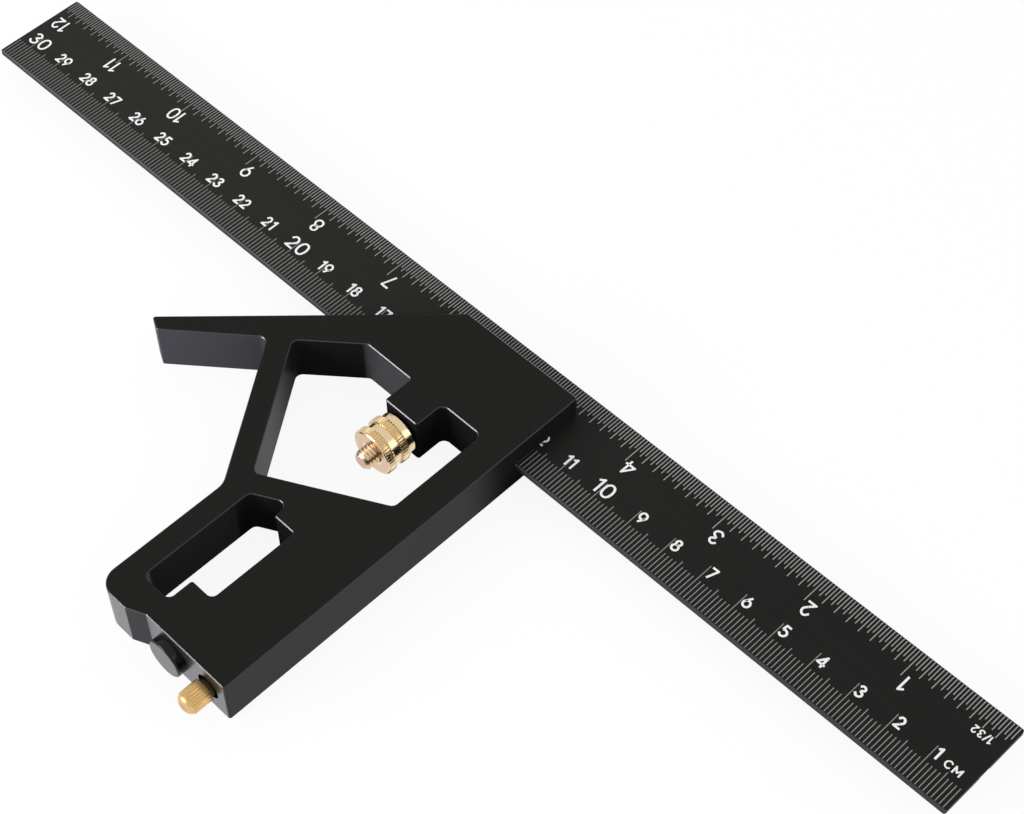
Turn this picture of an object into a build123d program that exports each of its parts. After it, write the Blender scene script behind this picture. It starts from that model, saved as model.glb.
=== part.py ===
from build123d import *
import os
from math import cos, pi, radians, sin

# Adjustable set square (combination square), in millimetres.
# X runs along the rule towards its zero end, Y from the rule's lower edge to its upper edge, Z up.
# The origin is the square's corner: where the 90 degree face (plane X = 0) meets the rule's lower edge
# (plane Y = 0), on the underside of the head (plane Z = 0).

# ---- Rule -------------------------------------------------------------------------------------------
rule_length = 304.8
rule_width = 25.4
rule_thickness = 1.2
rule_reach = 117.9            # from the 90 degree face to the rule's zero end, as clamped
rule_corner_radius = 0.6
groove_width = 3.2            # groove along the middle of the rule's back
groove_depth = 0.5

# ---- Head -------------------------------------------------------------------------------------------
head_thickness = 13.0
shoulder_height = 19.7        # head above the rule's lower edge
shoulder_length = 34.4        # top edge, from the 90 degree face to the 45 degree face
stock_depth = 84.05           # head below the rule's lower edge, at the plug and the scriber
stock_width = 38.6
arm_reach = 85.8              # 90 degree face to the tip of the arm, along X
arm_tip_width = 3.7           # tip's end, measured along X
arm_back_angle = 39.6         # back edge of the arm, from X
strut_angle = 55.1            # strut between the arm and the stock, from X
strut_width = 5.8
strut_foot_drop = 50.9        # strut's outer edge meets the stock this far below the rule
toe_drop = 2.1                # outer part of the end, lower than the rest
toe_width = 9.3
toe_ramp = 4.6                # ramp beside the toe, along X
edge_break = 0.2              # chamfer on the edges of both flat sides
edge_radius = 0.6             # corners of the outline that are nearly sharp
heel_radius = 4.6
crotch_radius = 2.0           # between arm and strut
strut_foot_radius = 5.0

# ---- Large window, with the boss for the clamp bolt ---------------------------------------------------
bridge_depth = 2.5            # head left between the rule and the window
fence_wall = 7.9              # wall behind the 90 degree face
window_top_length = 36.4      # top edge of the window, along X
window_arm_angle = 40.2       # window's edge along the arm, from X
web_angle = 28.8              # web between the two windows, from X
web_drop = 28.8               # web's upper edge meets the fence wall this far below the rule
web_width = 5.4
window_radius = 1.8
boss_radius = 0.6             # corners of the boss

# ---- Small stepped window -----------------------------------------------------------------------------
side_wall = 5.95              # wall beside the narrow part
narrow_width = 8.25
wide_width = 6.35             # the wide part goes this much further towards the 90 degree face
wide_top_drop = 48.6          # below the rule
wide_end_wall = 12.3          # from the wide part's end to the stock's end
narrow_end_wall = 5.8         # wall between the narrow part and the recessed end
step_radius = 1.6

# ---- Clamp bolt, spring and nut -----------------------------------------------------------------------
bolt_offset = 25.05           # from the 90 degree face
bolt_radius = 2.5             # M5
thread_pitch = 0.9
clamp_turn = 200.0            # degrees of the nut from clamped to free
collar_radius = 4.0
collar_thickness = 1.4
tongue_overlap = 1.4          # tongue beyond the groove's far side
key_height = 0.4
bolt_stub = 3.3               # thread outside the nut
bolt_tip_chamfer = 0.7
spring_wire_radius = 0.3
spring_wire_sides = 6
spring_turns = 4.5
spring_length = 4.6
guide_length = 3.65           # bolt guide at the outer end of the boss
boss_wall = 1.35              # boss beside the spring pocket
nut_radius = 5.9
nut_hub_radius = 4.0          # hub between the boss and the shoulder
nut_hub_length = 0.75
nut_shoulder_radius = 5.3
nut_shoulder_chamfer = 0.2
nut_shoulder_length = 2.05
nut_band_length = 2.1
nut_groove_radius = 5.35      # plain turned groove between the two knurled bands
nut_groove_length = 2.0
nut_nose_length = 0.2
nut_teeth = 48
nut_tooth_depth = 0.3

# ---- Scriber ------------------------------------------------------------------------------------------
scriber_offset = 5.95         # from the 90 degree face
needle_radius = 1.2
needle_length = 48.0          # outside the knob
needle_point_length = 6.0
needle_seat_depth = 5.0       # pressed into the knob
sleeve_radius = 2.4
sleeve_length = 12.0
sleeve_slit = 0.7
knob_radius = 2.8
knob_length = 9.1
knob_recess = 2.0             # depth that the knob sits in the head
knob_dome_height = 1.45
knob_neck_radius = 2.3
knob_neck_length = 2.9
knob_teeth = 23
knob_tooth_depth = 0.25

# ---- End plug -----------------------------------------------------------------------------------------
plug_offset = 17.35           # from the 90 degree face
plug_shank_radius = 3.4
plug_shank_length = 6.0
plug_head_radius = 4.8
plug_head_height = 2.55
plug_rim_radius = 0.6

# ---- Clearances ---------------------------------------------------------------------------------------
slide_clearance = 0.05        # rule in its slot, each side
running_clearance = 0.05      # bolt, nut and needle, radial
bore_clearance = 0.1          # bolt collar in its bore, radial
key_clearance = 0.1           # key in the groove
spring_clearance = 0.3        # spring beside the bolt and in its pocket, radial
spring_seat_gap = 0.1         # spring's ends
seat_gap = 0.05               # nut on the boss, knob in its recess
fit_clearance = 0.01          # pieces pressed into each other, radial
knob_clearance = 0.35         # knob in its recess, radial
bore_end_gap = 2.0            # bore beyond the needle's point, and beyond the plug

# ---- Derived values -----------------------------------------------------------------------------------
middle = head_thickness / 2
rule_back = middle - rule_thickness / 2
clamp_travel = thread_pitch * clamp_turn / 360
groove_low = (rule_width - groove_width) / 2
groove_high = (rule_width + groove_width) / 2

collar_top = -slide_clearance - clamp_travel - key_clearance
collar_foot = collar_top - collar_thickness
collar_bore_floor = collar_foot - key_clearance
spring_radius = bolt_radius + spring_clearance + spring_wire_radius
pocket_radius = spring_radius + spring_wire_radius + spring_clearance
pocket_floor = collar_foot - spring_length - 2 * spring_seat_gap
boss_end = pocket_floor - guide_length
boss_width = 2 * (pocket_radius + boss_wall)
nut_seat = boss_end - seat_gap
nut_length = (
    nut_hub_length + nut_shoulder_length + nut_groove_length + 2 * nut_band_length + nut_nose_length
)
bolt_tip = nut_seat - nut_length - bolt_stub
tongue_tip = groove_high + tongue_overlap

knob_bore_floor = -stock_depth + knob_recess
knob_seat = knob_bore_floor - seat_gap
needle_tip = knob_seat + needle_length


def meet(first, first_angle, second, second_angle):
    """Where two straight edges cross, each given by a point on it and its angle from X in degrees."""
    ax, ay = cos(radians(first_angle)), sin(radians(first_angle))
    bx, by = cos(radians(second_angle)), sin(radians(second_angle))
    run = ((second[0] - first[0]) * by - (second[1] - first[1]) * bx) / (ax * by - ay * bx)
    return first[0] + run * ax, first[1] + run * ay


def plan(corners):
    """Flat outline through the corners, each given as (point, radius)."""
    points = [point for point, radius in corners]
    radii = [radius for point, radius in corners]
    return make_face(FilletPolyline(*points, radius=radii, close=True))


def along_y(x, y, shape):
    """Shape made round the Z axis, put at (x, y) in the middle of the head with its Z towards -Y."""
    return Plane(origin=(x, y, middle), x_dir=(1, 0, 0), z_dir=(0, -1, 0)) * shape


def bore(x, y_from, y_to, radius):
    """Round bore along Y from y_from down to y_to."""
    length = y_from - y_to
    return along_y(x, y_from, Cylinder(radius, length, align=(Align.CENTER, Align.CENTER, Align.MIN)))


def turned(profile):
    """Solid of revolution round Z from a closed (radius, height) outline in the XZ plane."""
    return revolve(make_face(Plane.XZ * Polyline(*profile, close=True)), Axis.Z)


def toothed(radius, depth, teeth, length):
    """Straight-knurled band on Z, from height 0 up."""
    step = pi / teeth
    ring = []
    for tooth in range(teeth):
        for turn, reach in ((2 * tooth * step, radius), ((2 * tooth + 1) * step, radius - depth)):
            ring.append((reach * cos(turn), reach * sin(turn)))
    return extrude(make_face(Polyline(*ring, close=True)), length)


# ---- Head -------------------------------------------------------------------------------------------
strut_direction = 180 - strut_angle
strut_foot = (-stock_width, -strut_foot_drop)
strut_inside = (
    strut_foot[0] + strut_width * sin(radians(strut_angle)),
    strut_foot[1] + strut_width * cos(radians(strut_angle)),
)
arm_tip = (-arm_reach, shoulder_height - (arm_reach - shoulder_length))
arm_tip_back = (arm_tip[0] + arm_tip_width, arm_tip[1] - arm_tip_width * sin(radians(30)))


def head_outline():
    crotch = meet(arm_tip_back, arm_back_angle, strut_foot, strut_direction)
    toe = -stock_depth - toe_drop
    return plan([
        ((0, shoulder_height), edge_radius),
        ((-shoulder_length, shoulder_height), edge_radius),
        (arm_tip, edge_radius),
        (arm_tip_back, edge_radius),
        (crotch, crotch_radius),
        (strut_foot, strut_foot_radius),
        ((-stock_width, toe), heel_radius),
        ((-stock_width + toe_width, toe), edge_radius),
        ((-stock_width + toe_width + toe_ramp, -stock_depth), edge_radius),
        ((0, -stock_depth), edge_radius),
    ])


def large_window():
    top = -bridge_depth
    boss_right = -bolt_offset + boss_width / 2
    boss_left = -bolt_offset - boss_width / 2
    fence_corner = (-fence_wall, -web_drop)
    arm_corner = (-fence_wall - window_top_length, top)
    return plan([
        ((-fence_wall, top), window_radius),
        ((boss_right, top), window_radius),
        ((boss_right, boss_end), boss_radius),
        ((boss_left, boss_end), boss_radius),
        ((boss_left, top), boss_radius),
        (arm_corner, window_radius),
        (meet(arm_corner, window_arm_angle, strut_inside, strut_direction), window_radius),
        (meet(fence_corner, web_angle, strut_inside, strut_direction), window_radius),
        (fence_corner, window_radius),
    ])


def small_window():
    left = -stock_width + side_wall
    step = left + narrow_width
    right = step + wide_width
    wide_top = -wide_top_drop
    foot = -stock_depth + wide_end_wall
    narrow_foot = -stock_depth + narrow_end_wall
    below_web = (-fence_wall, -web_drop - web_width / cos(radians(web_angle)))
    return plan([
        (meet(below_web, web_angle, (left, 0), 90), window_radius),
        (meet(below_web, web_angle, (step, 0), 90), step_radius),
        ((step, wide_top), edge_radius),
        ((right, wide_top), edge_radius),
        ((right, foot), step_radius),
        ((step, foot), edge_radius),
        ((step, narrow_foot), step_radius),
        ((left, narrow_foot), window_radius),
    ])


def head():
    plate = extrude(head_outline() - large_window() - small_window(), head_thickness)
    flat_sides = plate.faces().filter_by(Axis.Z)
    plate = chamfer(flat_sides.edges(), edge_break)
    slot_depth = shoulder_height + slide_clearance + edge_break
    slot = Pos(0, -slide_clearance, middle) * Box(
        2 * arm_reach, slot_depth, rule_thickness + 2 * slide_clearance,
        align=(Align.CENTER, Align.MIN, Align.CENTER),
    )
    above = shoulder_height + edge_break
    below = -stock_depth - edge_break
    needle_bore_end = needle_tip + bore_end_gap
    sleeve_end = knob_bore_floor + sleeve_length
    plate -= slot
    plate -= bore(-bolt_offset, above, collar_bore_floor, collar_radius + bore_clearance)
    plate -= bore(-bolt_offset, 0, pocket_floor, pocket_radius)
    plate -= bore(-bolt_offset, 0, boss_end - edge_break, bolt_radius + running_clearance)
    plate -= bore(-scriber_offset, knob_bore_floor, below, knob_radius + knob_clearance)
    plate -= bore(-scriber_offset, sleeve_end, below, sleeve_radius + fit_clearance)
    plate -= bore(-scriber_offset, needle_bore_end, below, needle_radius + knob_clearance)
    plug_bore_end = -stock_depth + plug_shank_length + bore_end_gap / 2
    plate -= bore(-plug_offset, plug_bore_end, below, plug_shank_radius + fit_clearance)
    return plate


# ---- Rule -------------------------------------------------------------------------------------------
def rule():
    middle_x = rule_reach - rule_length / 2
    blank = Pos(middle_x, rule_width / 2) * RectangleRounded(rule_length, rule_width, rule_corner_radius)
    blade = Pos(0, 0, rule_back) * extrude(blank, rule_thickness)
    groove = Pos(middle_x, rule_width / 2, rule_back) * Box(
        rule_length + 2 * rule_corner_radius, groove_width, 2 * groove_depth
    )
    return blade - groove


# ---- Clamp ------------------------------------------------------------------------------------------
def clamp_bolt():
    shank = bore(-bolt_offset, collar_foot, bolt_tip, bolt_radius)
    tip = shank.faces().sort_by(Axis.Y)[0]
    shank = chamfer(tip.edges(), bolt_tip_chamfer)
    head_bar = bore(-bolt_offset, tongue_tip, collar_foot, collar_radius)
    above_tongue = rule_back - slide_clearance - key_clearance
    rule_room = Pos(-bolt_offset, collar_top, above_tongue) * Box(
        2 * collar_radius, tongue_tip - collar_top, head_thickness,
        align=(Align.CENTER, Align.MIN, Align.MIN),
    )
    key_foot = groove_low + key_clearance
    key_width = groove_width - 2 * key_clearance - clamp_travel
    key_top = rule_back + key_height
    key = Pos(-bolt_offset, key_foot, above_tongue) * Box(
        collar_radius, key_width, key_top - above_tongue,
        align=(Align.CENTER, Align.MIN, Align.MIN),
    )
    return shank + (head_bar - rule_room) + key


def clamp_spring():
    pitch = (spring_length - 2 * spring_wire_radius) / spring_turns
    height = spring_turns * pitch
    path = Helix(pitch, height, spring_radius)
    section = Plane(origin=path @ 0, z_dir=path % 0) * RegularPolygon(spring_wire_radius, spring_wire_sides)
    coil = sweep(section, path=path, is_frenet=True)
    return along_y(-bolt_offset, collar_foot - spring_seat_gap - spring_wire_radius, coil)


def clamp_nut():
    first_band = nut_hub_length + nut_shoulder_length
    second_band = first_band + nut_band_length + nut_groove_length
    nose = second_band + nut_band_length
    tooth_foot = nut_radius - nut_tooth_depth
    core = turned([
        (0, 0),
        (nut_hub_radius, 0),
        (nut_hub_radius, nut_hub_length),
        (nut_shoulder_radius - nut_shoulder_chamfer, nut_hub_length),
        (nut_shoulder_radius, nut_hub_length + nut_shoulder_chamfer),
        (nut_shoulder_radius, first_band),
        (nut_groove_radius, first_band),
        (nut_groove_radius, nose),
        (tooth_foot, nose),
        (tooth_foot - nut_nose_length, nut_length),
        (0, nut_length),
    ])
    body = core
    for start in (first_band, second_band):
        body += Pos(0, 0, start) * toothed(nut_radius, nut_tooth_depth, nut_teeth, nut_band_length)
    hole = Cylinder(bolt_radius + running_clearance, 3 * nut_length)
    return along_y(-bolt_offset, nut_seat, body - hole)


# ---- Scriber ------------------------------------------------------------------------------------------
def scriber_knob():
    tooth_foot = knob_radius - knob_tooth_depth
    grip = knob_length - knob_neck_length - knob_dome_height
    neck = Cylinder(knob_neck_radius, knob_neck_length, align=(Align.CENTER, Align.CENTER, Align.MIN))
    teeth = Pos(0, 0, knob_neck_length) * toothed(knob_radius, knob_tooth_depth, knob_teeth, grip)
    dome_radius = (tooth_foot ** 2 + knob_dome_height ** 2) / (2 * knob_dome_height)
    ball = Pos(0, 0, knob_length - dome_radius) * Sphere(dome_radius)
    cap = ball & Pos(0, 0, knob_length - knob_dome_height) * Cylinder(
        knob_radius, 2 * knob_dome_height, align=(Align.CENTER, Align.CENTER, Align.MIN)
    )
    seat = Cylinder(
        needle_radius + fit_clearance, needle_seat_depth, align=(Align.CENTER, Align.CENTER, Align.MIN)
    )
    return along_y(-scriber_offset, knob_seat, neck + teeth + cap - seat)


def scriber_needle():
    seated = needle_seat_depth - seat_gap
    needle = turned([
        (0, -needle_length),
        (needle_radius, needle_point_length - needle_length),
        (needle_radius, seated),
        (0, seated),
    ])
    return along_y(-scriber_offset, knob_seat, needle)


def scriber_sleeve():
    tube = Cylinder(sleeve_radius, sleeve_length) - Cylinder(needle_radius + running_clearance, sleeve_length)
    slit = Pos(0, sleeve_radius) * Box(sleeve_slit, 2 * sleeve_radius, sleeve_length)
    return along_y(-scriber_offset, knob_bore_floor + sleeve_length / 2, tube - slit)


# ---- End plug -----------------------------------------------------------------------------------------
def end_plug():
    button = Cylinder(plug_head_radius, plug_head_height, align=(Align.CENTER, Align.CENTER, Align.MIN))
    button = fillet(button.faces().sort_by(Axis.Z)[-1].edges(), plug_rim_radius)
    shank = Cylinder(plug_shank_radius, plug_shank_length, align=(Align.CENTER, Align.CENTER, Align.MAX))
    return along_y(-plug_offset, -stock_depth, button + shank)


os.makedirs("parts", exist_ok=True)
pieces = {
    "head": head(),
    "rule": rule(),
    "clamp_bolt": clamp_bolt(),
    "clamp_spring": clamp_spring(),
    "clamp_nut": clamp_nut(),
    "scriber_knob": scriber_knob(),
    "scriber_needle": scriber_needle(),
    "scriber_sleeve": scriber_sleeve(),
    "end_plug": end_plug(),
}
for name, piece in pieces.items():
    export_step(piece, f"parts/{name}.step")
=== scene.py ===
"""Finishes, graduations, clamp hardware and studio for the adjustable set square."""

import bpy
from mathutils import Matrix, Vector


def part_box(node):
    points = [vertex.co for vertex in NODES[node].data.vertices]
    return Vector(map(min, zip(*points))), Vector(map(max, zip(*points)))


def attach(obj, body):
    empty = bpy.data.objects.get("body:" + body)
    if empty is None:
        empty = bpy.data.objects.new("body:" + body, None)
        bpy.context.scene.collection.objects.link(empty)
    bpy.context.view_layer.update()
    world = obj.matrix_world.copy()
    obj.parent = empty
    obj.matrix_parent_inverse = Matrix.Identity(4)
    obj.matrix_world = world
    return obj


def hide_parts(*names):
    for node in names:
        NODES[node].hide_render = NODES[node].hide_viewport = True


bl_info = {
    "name": "Adjustable Set Square",
    "version": (1, 0, 0),
    "blender": (4, 5, 0),
    "location": "3D View > Sidebar > Set Square",
    "description": "Finishes, graduations, clamp hardware and studio for a sliding set square",
    "category": "Object",
}

from math import cos, pi, radians, sin

import bpy
from bpy.props import (
    FloatProperty,
    FloatVectorProperty,
    IntProperty,
    PointerProperty,
)
from bpy.types import Operator, Panel, PropertyGroup
from mathutils import Matrix, Vector

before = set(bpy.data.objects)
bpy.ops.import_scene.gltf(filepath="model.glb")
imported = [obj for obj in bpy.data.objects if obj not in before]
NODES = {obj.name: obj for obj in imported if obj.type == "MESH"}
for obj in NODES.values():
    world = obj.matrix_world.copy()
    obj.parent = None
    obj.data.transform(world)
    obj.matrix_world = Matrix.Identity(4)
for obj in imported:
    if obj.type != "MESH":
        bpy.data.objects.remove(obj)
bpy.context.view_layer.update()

MM = 0.001
INCH = 25.4 * MM
RULE_LOW, RULE_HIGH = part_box("rule")
BOLT_LOW, BOLT_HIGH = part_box("clamp_bolt")
NUT_LOW, NUT_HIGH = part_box("clamp_nut")
KNOB_LOW, KNOB_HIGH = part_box("scriber_knob")
RULE_TOP = RULE_HIGH.z
ZERO_END = RULE_HIGH.x
CENTIMETRES = 30
LAST_MILLIMETRES = 4
INCHES = 12
INCH_PARTS = 32
MERGE = 0.001 * MM
TINY = 0.0001 * MM
KNOB_GRIP_START = 2.9 * MM
NUT_BAND_STARTS = (2.8 * MM, 6.9 * MM)
NUT_BAND_LENGTH = 2.08 * MM
NUT_BAND_HOLE = 5.0 * MM
KNOB_GRIP_HOLE = 1.5 * MM
DOME_STEPS = 10


# ---- Sizes and colours that a user may change ------------------------------------------------------


def length(name, description, millimetres):
    """A property for a length, with its default in millimetres."""
    return FloatProperty(
        name=name, description=description, default=millimetres * MM,
        min=0.0, precision=5, unit="LENGTH", subtype="DISTANCE",
    )


def colour(name, description, default):
    """A property for a linear colour."""
    return FloatVectorProperty(
        name=name, description=description, default=default, size=3,
        min=0.0, max=1.0, subtype="COLOR",
    )


def factor(name, description, default):
    """A property for a share from 0 to 1."""
    return FloatProperty(
        name=name, description=description, default=default, min=0.0, max=1.0, subtype="FACTOR",
    )


class SetSquareFinish(PropertyGroup):
    """Colours and gloss of the set square's materials."""

    head_colour: colour("Head", "Black coat on the head's flat sides", (0.0090, 0.0092, 0.0080))
    head_gloss: factor("Head Roughness", "Roughness of the coat", 0.45)
    # Lighter than the flat sides: a painted sheen on the head's walls.
    wall_colour: colour("Head Walls", "Coat on the head's outer walls", (0.025, 0.0238, 0.029))
    # A blasted coat, its light grey a painted highlight of the key softbox on the end faces.
    end_colour: colour("Head Ends", "Thin blasted coat on the head's end faces", (0.138, 0.131, 0.146))
    # Near black: painted shade inside the windows, beside the rule and on the strut's wall.
    window_colour: colour("Window Walls", "Coat inside the head's windows", (0.013, 0.0125, 0.013))
    # Partly a thinner coat on the broken edges, partly a painted highlight, dimmed on edges facing +X.
    edge_colour: colour("Head Edges", "Thinner coat on the head's broken edges", (0.10, 0.10, 0.102))
    rule_colour: colour("Rule", "Satin black of the rule", (0.0078, 0.0078, 0.0073))
    print_colour: colour("Numbers", "White of the printed numbers", (0.90, 0.90, 0.89))
    tick_colour: colour("Ticks", "Grey of the graduation lines", (0.22, 0.22, 0.215))
    brass_colour: colour("Brass", "Bright brass of the nut and bolt", (0.93, 0.74, 0.46))
    bolt_colour: colour("Bolt Brass", "Browner brass of the clamp bolt", (0.84, 0.62, 0.40))
    knob_colour: colour("Knob Brass", "Deeper brass of the scriber's knob", (0.80, 0.54, 0.23))
    plug_colour: colour("Plug", "Black plastic of the end plug", (0.004, 0.004, 0.0045))
    # Grey of the plug's face: a painted reflection of the bright floor.
    plug_face: colour("Plug Face", "Rubbed grey face of the end plug", (0.145, 0.145, 0.15))
    steel_colour: colour("Steel", "Hardened steel of the needle and spring", (0.52, 0.52, 0.54))


class SetSquareScale(PropertyGroup):
    """Sizes of the graduations and numbers on the rule."""

    raise_height: length("Height", "How far lines and numbers stand above the rule", 0.012)
    metric_gap: length("Metric Edge Gap", "Bare strip between the rule's edge and the metric lines", 0.55)
    inch_gap: length("Inch Edge Gap", "Bare strip between the rule's edge and the inch lines", 0.12)
    line_width: length("Metric Line Width", "Width of the millimetre lines", 0.22)
    fine_width: length("Inch Line Width", "Width of the inch lines", 0.20)
    millimetre: length("Millimetre Line", "Length of a millimetre line", 5.6)
    half_centimetre: length("Half Centimetre Line", "Length of a 5 mm line", 6.65)
    centimetre: length("Centimetre Line", "Length of a centimetre line", 10.05)
    thirty_second: length("1/32 Line", "Length of a 1/32 inch line", 3.43)
    sixteenth: length("1/16 Line", "Length of a 1/16 inch line", 4.33)
    eighth: length("1/8 Line", "Length of a 1/8 inch line", 5.41)
    inch: length("Inch Line", "Length of an inch line", 7.38)
    metric_foot: length("Metric Number Foot", "Foot of the centimetre numbers above the metric edge", 7.7)
    metric_height: length("Metric Numbers", "Height of the centimetre numbers", 3.2)
    tens_height: length("Tens Numbers", "Height of the numbers 10, 20 and 30", 4.15)
    inch_foot: length("Inch Number Foot", "Foot of the inch numbers below the inch edge", 6.55)
    inch_height: length("Inch Numbers", "Height of the inch numbers", 4.15)
    unit_height: length("Unit Letters", "Height of the unit letters", 2.03)
    number_pen: length("Number Stroke", "Width of the numbers' strokes", 0.55)
    unit_pen: length("Unit Stroke", "Width of the unit letters' strokes", 0.36)


class SetSquareClamp(PropertyGroup):
    """Sizes of the thread and of the knurled pieces."""

    pitch: length("Thread Pitch", "Pitch of the clamp bolt's thread", 0.9)
    thread_depth: length("Thread Depth", "Depth of the clamp bolt's thread", 0.5)
    tip_chamfer: length("Tip Chamfer", "Chamfer at the bolt's end", 0.7)
    nut_teeth: IntProperty(
        name="Nut Teeth", description="Teeth round each knurled band of the nut", default=48, min=3,
    )
    nut_tooth_depth: length("Nut Tooth Depth", "Depth of the nut's knurl", 0.46)
    knob_teeth: IntProperty(
        name="Knob Teeth", description="Ridges round the scriber's knob", default=23, min=3,
    )
    knob_tooth_depth: length("Knob Tooth Depth", "Depth of the knob's knurl", 0.25)


class SetSquareStudio(PropertyGroup):
    """Camera, floor and lamps."""

    camera_place: FloatVectorProperty(
        name="Camera Location", description="Where the camera stands", size=3,
        default=(0.195982, -0.198176, 0.401885), unit="LENGTH", subtype="TRANSLATION", precision=5,
    )
    camera_turn: FloatVectorProperty(
        name="Camera Rotation", description="How the camera is turned", size=3,
        default=(radians(36.67622), radians(2.62689), radians(46.56283)), unit="ROTATION", subtype="EULER",
    )
    lens: FloatProperty(
        name="Lens", description="Focal length of the camera", default=77.124, min=1.0, unit="CAMERA",
    )
    shift: FloatVectorProperty(
        name="Lens Shift", description="Shift of the camera's frame", size=2, default=(0.11818, 0.00391),
    )
    floor_colour: colour("Floor", "Colour of the floor", (0.95, 0.95, 0.95))
    floor_white: factor("Floor White", "How much of the floor's white is seen unshaded", 0.9)
    sky_low: FloatProperty(
        name="Low Sky", description="Light of the room near the floor", default=1.0, min=0.0,
    )
    sky_high: FloatProperty(
        name="High Sky", description="Light of the room overhead", default=0.7, min=0.0,
    )
    key_power: FloatProperty(
        name="Key Lamp", description="Power of the large softbox", default=4.5, min=0.0, unit="POWER",
    )
    side_power: FloatProperty(
        name="Side Lamp", description="Power of the softbox beside the rule", default=0.6, min=0.0,
        unit="POWER",
    )


# ---- Modelling helpers -------------------------------------------------------------------------------


def deselect():
    """Leaves nothing selected."""
    if bpy.context.object and bpy.context.object.mode != "OBJECT":
        bpy.ops.object.mode_set(mode="OBJECT")
    bpy.ops.object.select_all(action="DESELECT")


def pick(*objects):
    """Selects these objects alone, the first one active."""
    deselect()
    for obj in objects:
        obj.select_set(True)
    bpy.context.view_layer.objects.active = objects[0]
    return objects[0]


def settle(obj):
    """Puts an object's place, turn and scale into its mesh."""
    pick(obj)
    bpy.ops.object.transform_apply(location=True, rotation=True, scale=True)
    return obj


def join(*objects):
    """Makes one piece of several."""
    if len(objects) > 1:
        pick(*objects)
        bpy.ops.object.join()
    return objects[0]


def turn(obj, angle, axis):
    """Turns an object's mesh about an axis through the origin."""
    obj.data.transform(Matrix.Rotation(angle, 4, axis))
    return obj


def stretch(obj, x, y, z):
    """Scales an object's mesh about the origin."""
    obj.data.transform(Matrix.Diagonal((x, y, z, 1)))
    return obj


def move(obj, place):
    """Moves an object's mesh."""
    obj.data.transform(Matrix.Translation(Vector(place)))
    return obj


def copy_of(obj):
    """A copy with a mesh of its own."""
    pick(obj)
    bpy.ops.object.duplicate(linked=False)
    return bpy.context.object


def modifier(obj, kind, **settings):
    """Adds a modifier and applies it."""
    pick(obj)
    bpy.ops.object.modifier_add(type=kind)
    added = obj.modifiers[-1]
    for name, value in settings.items():
        setattr(added, name, value)
    bpy.ops.object.modifier_apply(modifier=added.name)
    return obj


def line(points, cyclic=False, smooth=False, width=0.0):
    """A curve through the points, as a wire or as a tube of that width, made a mesh."""
    deselect()
    bpy.ops.curve.primitive_bezier_curve_add()
    obj = bpy.context.object
    spline = obj.data.splines[0]
    spline.bezier_points.add(len(points) - 2)
    for knot, point in zip(spline.bezier_points, points):
        knot.co = (*point, 0.0)[:3]
        knot.handle_left_type = knot.handle_right_type = "AUTO" if smooth else "VECTOR"
    spline.use_cyclic_u = cyclic
    obj.data.resolution_u = 7 if smooth else 1
    obj.data.bevel_depth = width / 2
    obj.data.bevel_resolution = 1
    obj.data.use_fill_caps = True
    bpy.ops.object.convert(target="MESH")
    return bpy.context.object


def clean(obj):
    """Merges doubled vertices and turns all faces outwards."""
    pick(obj)
    bpy.ops.object.mode_set(mode="EDIT")
    bpy.ops.mesh.select_all(action="SELECT")
    bpy.ops.mesh.remove_doubles(threshold=MERGE)
    bpy.ops.mesh.normals_make_consistent(inside=False)
    bpy.ops.object.mode_set(mode="OBJECT")
    return obj


def bisect(obj, place, normal):
    """Cuts off what lies on the normal's side of a plane and closes the cut."""
    pick(obj)
    bpy.ops.object.mode_set(mode="EDIT")
    bpy.ops.mesh.select_all(action="SELECT")
    bpy.ops.mesh.bisect(
        plane_co=place, plane_no=normal, use_fill=True, clear_outer=True, threshold=TINY,
    )
    bpy.ops.object.mode_set(mode="OBJECT")
    return obj


def lathe(profile, steps=96):
    """A solid turned round Z from an outline of (radius, height), closed by the axis or by itself."""
    obj = line([(radius, 0.0, height) for radius, height in profile], cyclic=profile[0][0] > 0)
    modifier(
        obj, "SCREW", axis="Z", angle=2 * pi, screw_offset=0.0, steps=steps, render_steps=steps,
        use_merge_vertices=True, merge_threshold=TINY,
    )
    return clean(obj)


def smooth(obj, angle):
    """Shades smooth across edges flatter than the angle."""
    pick(obj)
    bpy.ops.object.shade_smooth_by_angle(angle=radians(angle))
    return obj


def finish_piece(obj, name, body, material, replaced=()):
    """Names a finished piece, gives it its material and lets it ride on its body."""
    obj.name = obj.data.name = name
    obj.data.materials.clear()
    obj.data.materials.append(material)
    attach(obj, body)
    if replaced:
        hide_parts(*replaced)
    return obj


def axis_of(low, high):
    """The x and z of a turned piece's axis, from the corners of its box."""
    return (low.x + high.x) / 2, (low.z + high.z) / 2


def along_y(obj, x, y, z):
    """Puts a piece made round Z, standing on height 0, at a point with its Z towards -Y."""
    turn(obj, radians(90), "X")
    return move(obj, (x, y, z))


# ---- Materials ------------------------------------------------------------------------------------------


class Value:
    """A node's output that can be used in sums, differences and products."""

    def __init__(self, finish, output):
        self.finish = finish
        self.output = output

    def __add__(self, other):
        return self.finish.maths("ADD", self, other)

    def __sub__(self, other):
        return self.finish.maths("SUBTRACT", self, other)

    def __rsub__(self, other):
        return self.finish.maths("SUBTRACT", other, self)

    def __mul__(self, other):
        return self.finish.maths("MULTIPLY", self, other)

    __radd__ = __add__
    __rmul__ = __mul__


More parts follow.
